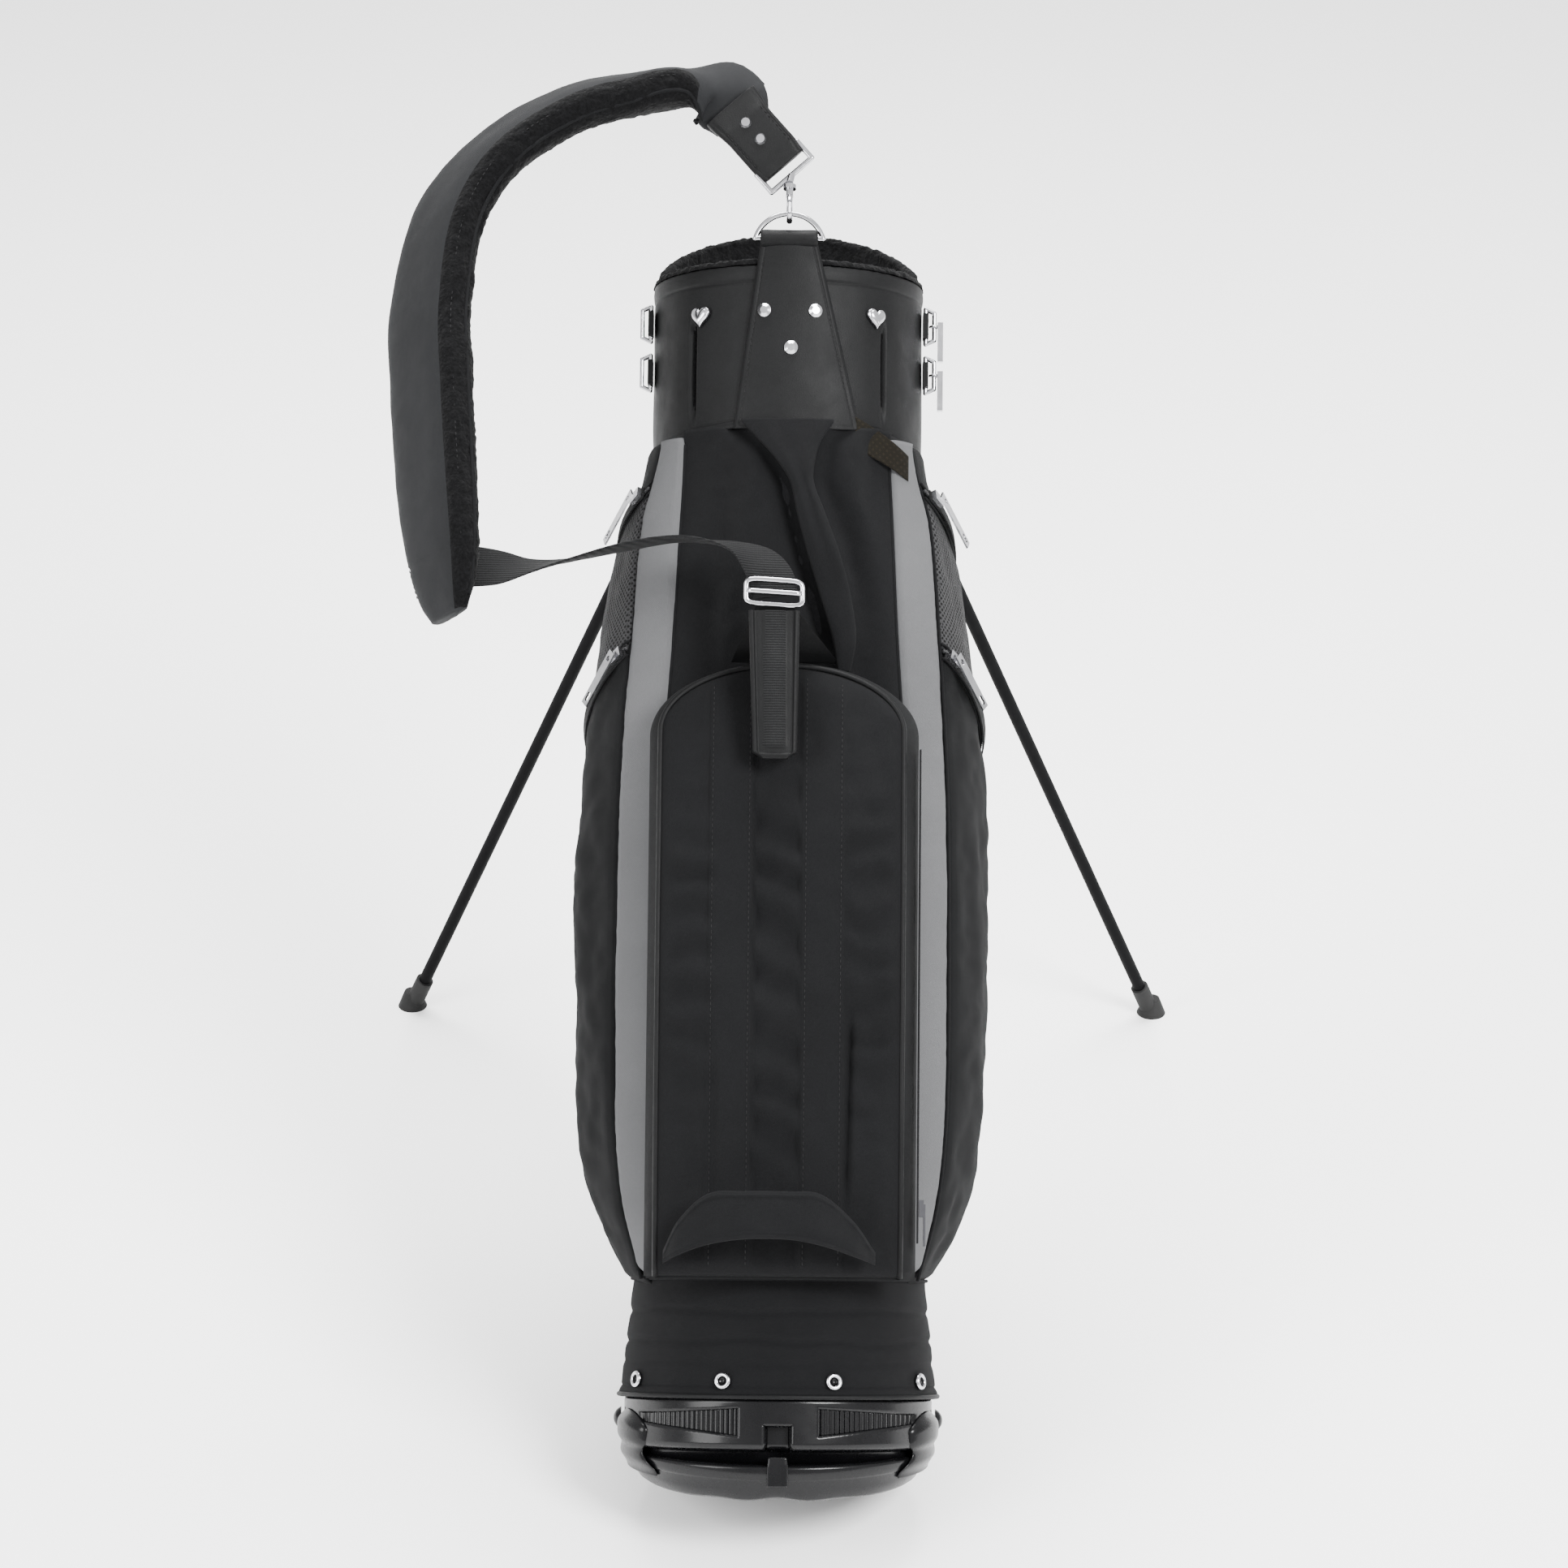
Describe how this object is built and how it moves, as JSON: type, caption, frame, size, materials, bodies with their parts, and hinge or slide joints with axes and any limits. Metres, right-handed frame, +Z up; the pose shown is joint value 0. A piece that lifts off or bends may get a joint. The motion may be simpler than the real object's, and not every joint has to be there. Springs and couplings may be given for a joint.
{
  "type": "golf stand bag",
  "caption": "Slim golf stand bag leaning on two open legs, with a hinged foot tray, zipped pockets, leather top cuff and a padded strap on a snap hook.",
  "frame": {"origin": "middle of the heel face, the small flat at the back edge of the foot tray, on the ground", "axes": "+Z up, +X to the bag's right, +Y to the back, towards the legs; the bag leans 35 degrees towards +Y"},
  "size_m": [0.642, 0.7734, 0.9167],
  "materials": {
    "black_nylon": "matte woven nylon",
    "grey_stripe": "matte woven polyester, mid grey",
    "black_mesh": "open knitted mesh",
    "black_fleece": "brushed pile",
    "black_leather": "fine grained, semi matte",
    "black_webbing": "ribbed webbing",
    "pad_cover": "smooth coated nylon, charcoal",
    "gloss_black": "glossy moulded plastic",
    "black_plastic": "satin moulded plastic",
    "black_rubber": "matte rubber",
    "chrome": "polished nickel plate",
    "black_tube": "black anodised tube",
    "steel_wire": "drawn steel",
    "glass_fibre": "pultruded rod",
    "olive_label": "woven label, plain",
    "lining_cloth": "thin plain cloth"
  },
  "bodies": {
    "bag": {"base_cup": "gloss_black", "base_cuff": "black_nylon", "base_cuff_snaps": "chrome", "body_lining": "lining_cloth", "stay_rods": "glass_fibre", "front_panel": "black_nylon", "back_panel": "black_nylon", "stripes": "grey_stripe", "side_pockets": "black_nylon", "mesh_pockets": "black_mesh", "shoulder_panels": "black_nylon", "ball_pocket": "black_nylon", "cuff_shell": "black_leather", "cuff_fur_lining": "black_fleece", "top_ring": "black_plastic", "divider_bars": "black_fleece", "front_tab": "black_leather", "tab_rivets": "chrome", "heart_studs": "chrome", "side_ring_tabs": "black_leather", "side_rings": "chrome", "snap_hook": "chrome", "tri_glide": "chrome", "strap_tail_loop": "black_webbing", "strap_anchor": "black_leather", "upper_handle": "black_nylon", "lower_handle": "black_nylon", "woven_label": "olive_label", "zipper_tapes": "black_webbing", "leg_bracket": "black_plastic", "leg_pivot_pins": "steel_wire", "rod_guides": "black_plastic"},
    "foot_tray": {"foot_tray": "gloss_black", "tray_hinge_pins": "gloss_black", "base_nubs": "black_rubber"},
    "push_rod": {"push_rod": "steel_wire"},
    "right_leg": {"right_leg_head": "black_plastic", "right_leg_tube": "black_tube", "right_leg_foot": "black_rubber"},
    "left_leg": {"left_leg_head": "black_plastic", "left_leg_tube": "black_tube", "left_leg_foot": "black_rubber"},
    "strap": {"shoulder_pad": "pad_cover", "strap_webbing": "black_webbing", "strap_end_tab": "black_leather", "strap_end_rivets": "chrome", "strap_end_ring": "chrome"},
    "snap_gate": {"snap_gate": "chrome"},
    "d_ring": {"d_ring": "chrome"},
    "upper_clasp": {"upper_clasp": "chrome"},
    "lower_clasp": {"lower_clasp": "chrome"},
    "pocket_slider": {"pocket_slider": "chrome"},
    "right_upper_slider": {"right_upper_slider": "chrome"},
    "right_upper_pull": {"right_upper_pull": "chrome"},
    "right_lower_slider": {"right_lower_slider": "chrome"},
    "right_lower_pull": {"right_lower_pull": "chrome"},
    "left_upper_slider": {"left_upper_slider": "chrome"},
    "left_upper_pull": {"left_upper_pull": "chrome"},
    "left_lower_slider": {"left_lower_slider": "chrome"},
    "left_lower_pull": {"left_lower_pull": "chrome"}
  },
  "joints": [
    {"name": "left_leg_fold", "type": "hinge", "parent": "bag", "child": "left_leg", "pos_m": [-0.073, 0.45711, 0.60254], "axis": [-0.8917, -0.3707, 0.2596], "range_deg": [0, 51.53]},
    {"name": "right_leg_fold", "type": "hinge", "parent": "bag", "child": "right_leg", "pos_m": [0.073, 0.45711, 0.60254], "axis": [-0.8917, 0.3707, -0.2596], "range_deg": [0, 51.53]},
    {"name": "foot_tray_tilt", "type": "hinge", "parent": "bag", "child": "foot_tray", "pos_m": [0, -0.06284, 0.06568], "axis": [1, 0, 0], "range_deg": [-9.5, 0]},
    {"name": "push_rod_slide", "type": "slide", "parent": "bag", "child": "push_rod", "axis": [0, -0.5736, -0.8192], "range_m": [0, 0.0151]},
    {"name": "strap_swing", "type": "hinge", "parent": "bag", "child": "strap", "pos_m": [0, 0.3572, 0.8373], "axis": [0, 0.7067, 0.7075], "range_deg": [0, 165]},
    {"name": "snap_gate_press", "type": "hinge", "parent": "bag", "child": "snap_gate", "pos_m": [0, 0.33845, 0.82638], "axis": [1, 0, 0], "range_deg": [-25, 0], "stiffness_Nm_per_rad": 0.02},
    {"name": "d_ring_tilt", "type": "hinge", "parent": "bag", "child": "d_ring", "pos_m": [0, 0.33475, 0.80785], "axis": [1, 0, 0], "range_deg": [-6, 6]},
    {"name": "upper_clasp_swing", "type": "hinge", "parent": "bag", "child": "upper_clasp", "pos_m": [0.1062, 0.37881, 0.72084], "axis": [0, 0.5736, 0.8192], "range_deg": [-60, 60]},
    {"name": "lower_clasp_swing", "type": "hinge", "parent": "bag", "child": "lower_clasp", "pos_m": [0.1062, 0.35816, 0.69136], "axis": [0, 0.5736, 0.8192], "range_deg": [-60, 60]},
    {"name": "right_upper_zip", "type": "hinge", "parent": "bag", "child": "right_upper_slider", "pos_m": [-0.01671, 0.30019, 0.56446], "axis": [-0.0673, 0.9088, 0.4117], "range_deg": [-0.5, 50.2]},
    {"name": "right_upper_pull_flip", "type": "hinge", "parent": "right_upper_slider", "child": "right_upper_pull", "pos_m": [0.11235, 0.27927, 0.63172], "axis": [-0.16, -0.9871, 0], "range_deg": [0, 60]},
    {"name": "right_lower_zip", "type": "hinge", "parent": "bag", "child": "right_lower_slider", "pos_m": [0.00333, 0.24649, 0.47014], "axis": [0.1585, 0.9232, 0.35], "range_deg": [-0.5, 61.4]},
    {"name": "right_lower_pull_flip", "type": "hinge", "parent": "right_lower_slider", "child": "right_lower_pull", "pos_m": [0.12419, 0.19762, 0.54431], "axis": [-0.3749, -0.9271, 0], "range_deg": [0, 60]},
    {"name": "left_upper_zip", "type": "hinge", "parent": "bag", "child": "left_upper_slider", "pos_m": [0.01671, 0.30019, 0.56446], "axis": [-0.0673, -0.9088, -0.4117], "range_deg": [-0.5, 50.2]},
    {"name": "left_upper_pull_flip", "type": "hinge", "parent": "left_upper_slider", "child": "left_upper_pull", "pos_m": [-0.11235, 0.27927, 0.63172], "axis": [-0.16, 0.9871, 0], "range_deg": [0, 60]},
    {"name": "left_lower_zip", "type": "hinge", "parent": "bag", "child": "left_lower_slider", "pos_m": [-0.00333, 0.24649, 0.47014], "axis": [0.1585, -0.9232, -0.35], "range_deg": [-0.5, 61.4]},
    {"name": "left_lower_pull_flip", "type": "hinge", "parent": "left_lower_slider", "child": "left_lower_pull", "pos_m": [-0.12419, 0.19762, 0.54431], "axis": [-0.3749, 0.9271, 0], "range_deg": [0, 60]},
    {"name": "pocket_zip", "type": "slide", "parent": "bag", "child": "pocket_slider", "axis": [0, 0.5736, 0.8192], "range_m": [0, 0.3]}
  ],
  "couplings": [
    {"joint": "right_leg_fold", "follows": "left_leg_fold", "ratio": 1},
    {"joint": "foot_tray_tilt", "follows": "left_leg_fold", "ratio": -0.18417},
    {"joint": "push_rod_slide", "follows": "left_leg_fold", "m_per_rad": 0.016773}
  ]
}
